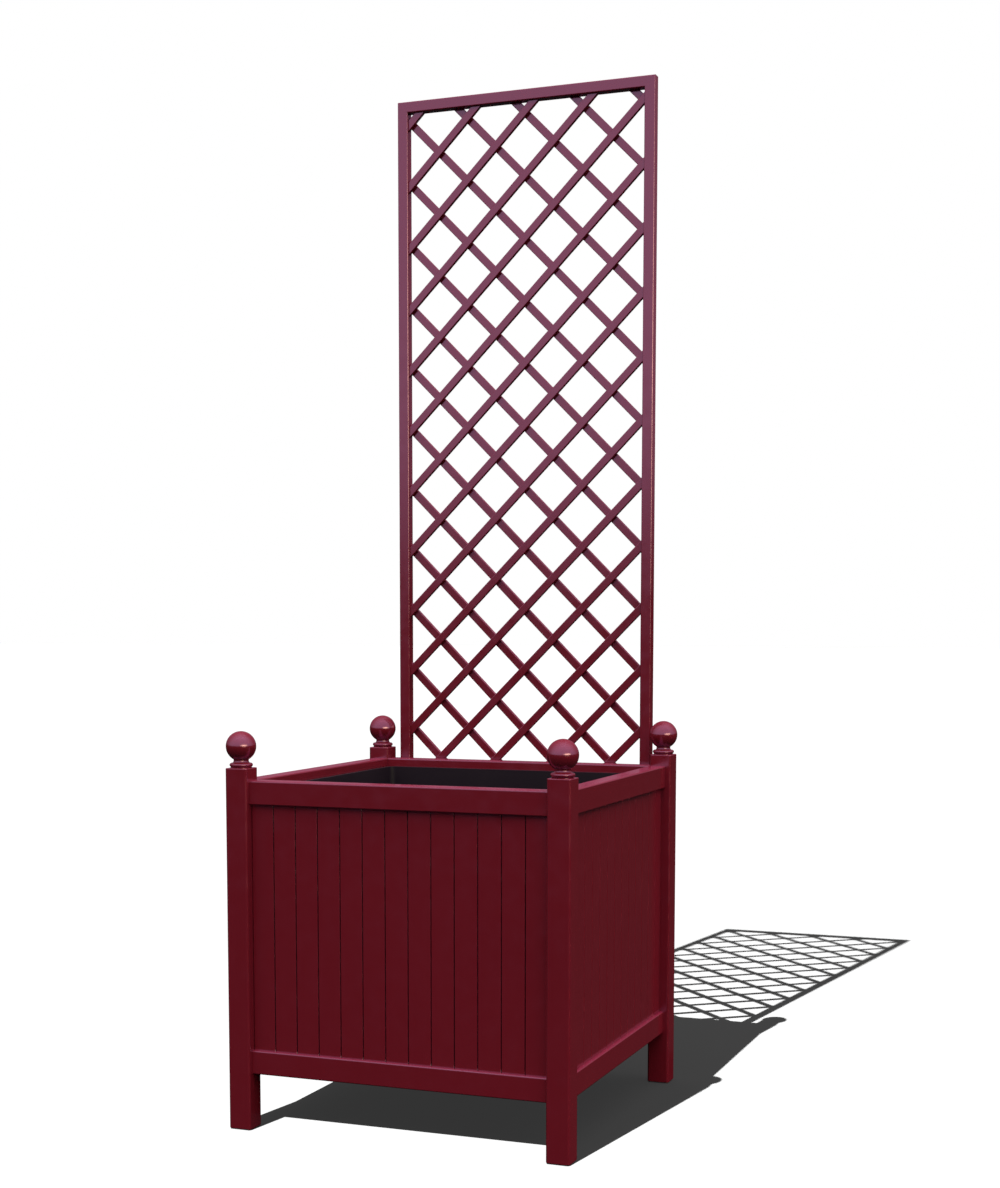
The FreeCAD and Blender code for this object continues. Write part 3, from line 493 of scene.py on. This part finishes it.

# --------------------------------------------------------------------------------------------------
# Boards: thirteen tongued and grooved upright boards of hollow aluminium to a side, with bevelled
# edges that leave a fine dark line between neighbours, deepened on the front and back by shade
# painted into the seams. They stand in the rails' channels.

BOARD_PITCH = 0.040
# Painted shade: the dark colour painted into the board seams where shadow falls in the grooves, and
# the width of its soft edge.
SEAM_PAINTED_SHADE = linear(24, 3, 6)
SEAM_SHADE_EDGE = (0.0005, 0.0011)


def paint_seam_shade(finish, axis, first_seam):
    """Paints shade into the seams between boards, which repeat along one axis: a dark line for the
    shadow in each groove.
    """
    tree = finish.node_tree
    skin = next(node for node in tree.nodes if node.bl_idname == "ShaderNodeBsdfPrincipled")
    paint_colour = skin.inputs["Base Color"].links[0].from_socket
    place = add_node(tree, "ShaderNodeTexCoord").outputs["Object"]
    along = add_node(tree, "ShaderNodeSeparateXYZ", {0: place}).outputs[axis]
    from_first = calculate(tree, "SUBTRACT", along, first_seam)
    from_seam = calculate(tree, "PINGPONG", from_first, BOARD_PITCH / 2)
    # Painted shade along each seam, darkest at its middle.
    seam_shade = spread(tree, from_seam, SEAM_SHADE_EDGE, (1.0, 0.0))
    tree.links.new(mixed(tree, seam_shade, paint_colour, SEAM_PAINTED_SHADE), skin.inputs["Base Color"])


board_paint = powder_coat("board_paint")
paint_nodes(board_paint, "boards_right", "boards_left")
# The front and back boards get painted shade in their seams; the side boards don't.
seam_shaded_paint = powder_coat("board_paint_with_seam_shade")
paint_seam_shade(seam_shaded_paint, "X", BOARD_PITCH / 2)
paint_nodes(seam_shaded_paint, "boards_front", "boards_back")

# --------------------------------------------------------------------------------------------------
# Rail joints: grey moulded connectors, hidden in the rail ends and posts, and the steel screws that
# hold the rails on them from inside the planter, button-headed and driven with a hexagon key.

CONNECTOR_GREY = linear(52, 52, 52)
CONNECTOR_ROUGHNESS = 0.5
CONNECTOR_GRAIN = 800.0

connector_plastic = moulded_plastic(
    "connector_plastic", CONNECTOR_GREY, CONNECTOR_ROUGHNESS, CONNECTOR_GRAIN
)
paint_nodes(connector_plastic, "rail_connectors_bottom", "rail_connectors_top")

STEEL_GREY = linear(170, 170, 174)
STEEL_ROUGHNESS = 0.32
STEEL_LINES = (1.0, 1.0, 0.12)
METAL_LINES = (900.0, 2.0, 0.6)
METAL_DARK_SHARE = 0.86
METAL_UNEVEN = (-0.06, 0.06)
METAL_RELIEF = (0.2, 0.00002)


def bare_metal(name, colour, roughness, stretch):
    """Bare metal with the fine lines of its drawing or turning along one axis."""
    finish, tree = new_finish(name)
    place = add_node(tree, "ShaderNodeTexCoord").outputs["Object"]
    drawn = add_node(tree, "ShaderNodeMapping", {"Vector": place, "Scale": stretch}).outputs[0]
    lines = noise(tree, drawn, METAL_LINES)
    give_skin(tree, {
        "Base Color": mixed(tree, lines, darkened(colour, METAL_DARK_SHARE), colour),
        "Metallic": 1.0,
        "Roughness": uneven_gloss(tree, lines, roughness, METAL_UNEVEN),
        "Normal": fine_relief(tree, lines, METAL_RELIEF),
    })
    return finish


steel = bare_metal("steel", STEEL_GREY, STEEL_ROUGHNESS, STEEL_LINES)

SCREW_HEAD = 0.00375
SCREW_HEAD_THICK = 0.0022
SCREW_RADIUS = 0.002
SCREW_SHANK = 0.009
SCREW_KEY = 0.0025
SCREW_STEPS = 24
SCREW_TO_END = 0.007
SCREW_HARD_ANGLE = 30.0
KEY_DEPTH_SHARE = 0.6
TIP_RADIUS_SHARE = 0.8
TIP_HEIGHT_SHARE = 0.25

# Lays down a screw that was made head up, so that its head faces back.
HEAD_BACK = Matrix.Rotation(math.radians(-90), 4, "X")

# The button head's outline, as shares of its radius and of its height.
BUTTON_HEAD = (
    (0.96, 0.0),
    (1.0, 0.08),
    (1.0, 0.25),
    (0.95, 0.52),
    (0.86, 0.76),
    (0.74, 0.93),
    (0.62, 1.0),
)


def socket_screw(head_radius, head_height, shank_radius, shank_length, key_size, steps):
    """A button-head screw with a hexagon socket, head up, its head's underside at height 0."""
    profile = [
        (0.0, -shank_length),
        (shank_radius * TIP_RADIUS_SHARE, -shank_length),
        (shank_radius, -shank_length + shank_radius * TIP_HEIGHT_SHARE),
        (shank_radius, 0.0),
    ]
    profile += [(head_radius * out, head_height * up) for out, up in BUTTON_HEAD]
    bm = turn_profile(profile, steps)
    rim = [edge for edge in bm.edges if edge.is_boundary]
    bmesh.ops.create_circle(
        bm, segments=6, radius=key_size / math.sqrt(3),
        matrix=Matrix.Translation((0, 0, head_height)),
    )
    key = [edge for edge in bm.edges if edge.is_wire]
    bmesh.ops.subdivide_edges(bm, edges=key, cuts=steps // 6 - 1)
    key = [edge for edge in bm.edges if edge.is_wire]
    bmesh.ops.bridge_loops(bm, edges=rim + key)
    wall = bmesh.ops.extrude_edge_only(bm, edges=key)["geom"]
    bottom_points = [item for item in wall if isinstance(item, bmesh.types.BMVert)]
    bottom_edges = [item for item in wall if isinstance(item, bmesh.types.BMEdge)]
    bmesh.ops.translate(bm, vec=(0, 0, -head_height * KEY_DEPTH_SHARE), verts=bottom_points)
    bmesh.ops.contextual_create(bm, geom=bottom_edges)
    return finished_mesh(bm, "socket_screw", SCREW_HARD_ANGLE)


def joined_copies(name, pattern, places):
    """One mesh of the pattern at every place, each given as a matrix."""
    bm = bmesh.new()
    for place in places:
        copy = pattern.copy()
        copy.transform(place)
        bm.from_mesh(copy)
        bpy.data.meshes.remove(copy)
    mesh = bpy.data.meshes.new(name)
    bm.to_mesh(mesh)
    bm.free()
    return mesh


low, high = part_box("connector_screws")
middle = (low + high) / 2
half = high - middle
screw_pattern = socket_screw(
    SCREW_HEAD, SCREW_HEAD_THICK, SCREW_RADIUS, SCREW_SHANK, SCREW_KEY, SCREW_STEPS
)
screw_places = []
for turn in (0, 90, 180, 270):
    reach, run = (half.y, half.x) if turn % 180 == 0 else (half.x, half.y)
    inner_face = reach - SCREW_SHANK
    along = run - SCREW_SHANK - SCREW_TO_END
    for sign in (-1, 1):
        for screw_height in (low.z + SCREW_HEAD, high.z - SCREW_HEAD):
            screw_places.append(
                Matrix.Translation((middle.x, middle.y, screw_height))
                @ Matrix.Rotation(math.radians(turn), 4, "Z")
                @ Matrix.Translation((along * sign, -inner_face, 0.0))
                @ HEAD_BACK
            )
screw_mesh = joined_copies("connector_screw_set", screw_pattern, screw_places)
screws = place_piece("connector_screw_set", screw_mesh, "planter", steel)
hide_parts("connector_screws")

# --------------------------------------------------------------------------------------------------
# Ledges and bearers: bare aluminium angles riveted inside the front and back bottom rails, and the
# three aluminium bearers that lie on them across the planter and carry the liner.

ALUMINIUM_GREY = linear(198, 199, 202)
ALUMINIUM_ROUGHNESS = 0.38
ALUMINIUM_LINES = (0.04, 1.0, 1.0)

RIVET_HEAD = 0.004
RIVET_SHANK = 0.009
RIVET_RADIUS = 0.0020
RIVET_CHAMFER = 0.0004
RIVET_STEPS = 20

# The domed head and the hollow in its middle that the rivet's pin leaves: radius and height.
RIVET_DOME = (
    (0.0038, 0.0),
    (0.0040, 0.0002),
    (0.0037, 0.0008),
    (0.0030, 0.0012),
    (0.0020, 0.0015),
    (0.0012, 0.0015),
    (0.0011, 0.0007),
    (0.0, 0.0007),
)

bare_aluminium = bare_metal(
    "bare_aluminium", ALUMINIUM_GREY, ALUMINIUM_ROUGHNESS, ALUMINIUM_LINES
)
paint_nodes(bare_aluminium, "bearer_ledge_front", "bearer_ledge_back", "liner_bearers")

rivet_profile = [
    (0.0, -RIVET_SHANK),
    (RIVET_RADIUS - RIVET_CHAMFER, -RIVET_SHANK),
    (RIVET_RADIUS, RIVET_CHAMFER - RIVET_SHANK),
    (RIVET_RADIUS, 0.0),
]
rivet_profile += RIVET_DOME
rivet_pattern = finished_mesh(turn_profile(rivet_profile, RIVET_STEPS), "ledge_rivet", HARD_ANGLE)

low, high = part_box("ledge_rivets")
middle = (low + high) / 2
rivet_places = []
for turn in (0, 180):
    for x in (low.x + RIVET_HEAD, middle.x, high.x - RIVET_HEAD):
        rivet_places.append(
            Matrix.Translation((x, middle.y, middle.z))
            @ Matrix.Rotation(math.radians(turn), 4, "Z")
            @ Matrix.Translation((0.0, low.y - middle.y + RIVET_SHANK, 0.0))
            @ HEAD_BACK
        )
rivet_mesh = joined_copies("ledge_rivet_set", rivet_pattern, rivet_places)
rivets = place_piece("ledge_rivet_set", rivet_mesh, "planter", steel)
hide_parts("ledge_rivets")

# --------------------------------------------------------------------------------------------------
# Liner: a black trough of moulded plastic with rounded corners, a rim that stands out all round,
# and drain holes in its floor. It lies loose on the bearers and lifts straight out.

LINER_BLACK = linear(23, 15, 22)
LINER_ROUGHNESS = 0.5
LINER_GRAIN = 700.0
LINER_SPECULAR = 0.12

liner_plastic = moulded_plastic(
    "liner_plastic", LINER_BLACK, LINER_ROUGHNESS, LINER_GRAIN, specular=LINER_SPECULAR
)
paint_nodes(liner_plastic, "liner")

# --------------------------------------------------------------------------------------------------
# Trellis frame: two stiles and two rails of square aluminium tube, mitred and welded at the
# corners, ground flush and coated like the planter.

trellis_paint = powder_coat("trellis_paint")
paint_nodes(trellis_paint, "trellis_stile_left", "trellis_stile_right")
paint_nodes(trellis_paint, "trellis_top_rail", "trellis_bottom_rail")

# --------------------------------------------------------------------------------------------------
# Lattice: two layers of flat aluminium bars that slant to either side, one lying on the other, and
# welded where they cross and where they meet the frame.

lattice_paint = powder_coat("lattice_paint")
paint_nodes(lattice_paint, "lattice_bars_front", "lattice_bars_back")

# --------------------------------------------------------------------------------------------------
# Trellis fixings: threaded inserts in the back rails, plain spacers, and steel button-head bolts
# through the stiles, put in from behind with a hexagon key.

BOLT_HEAD = 0.0055
BOLT_HEAD_THICK = 0.0033
BOLT_RADIUS = 0.003
BOLT_KEY = 0.004
BOLT_STEPS = 36

paint_nodes(steel, "trellis_inserts", "trellis_spacers")

low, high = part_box("trellis_bolts")
bolt_seat = high.y - BOLT_HEAD_THICK
bolt_pattern = socket_screw(
    BOLT_HEAD, BOLT_HEAD_THICK, BOLT_RADIUS, bolt_seat - low.y, BOLT_KEY, BOLT_STEPS
)
bolt_places = [
    Matrix.Translation((x, bolt_seat, z)) @ HEAD_BACK
    for x in (low.x + BOLT_HEAD, high.x - BOLT_HEAD)
    for z in (low.z + BOLT_HEAD, high.z - BOLT_HEAD)
]
bolt_mesh = joined_copies("trellis_bolt_set", bolt_pattern, bolt_places)
trellis_bolts = place_piece("trellis_bolt_set", bolt_mesh, "planter", steel)
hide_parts("trellis_bolts")
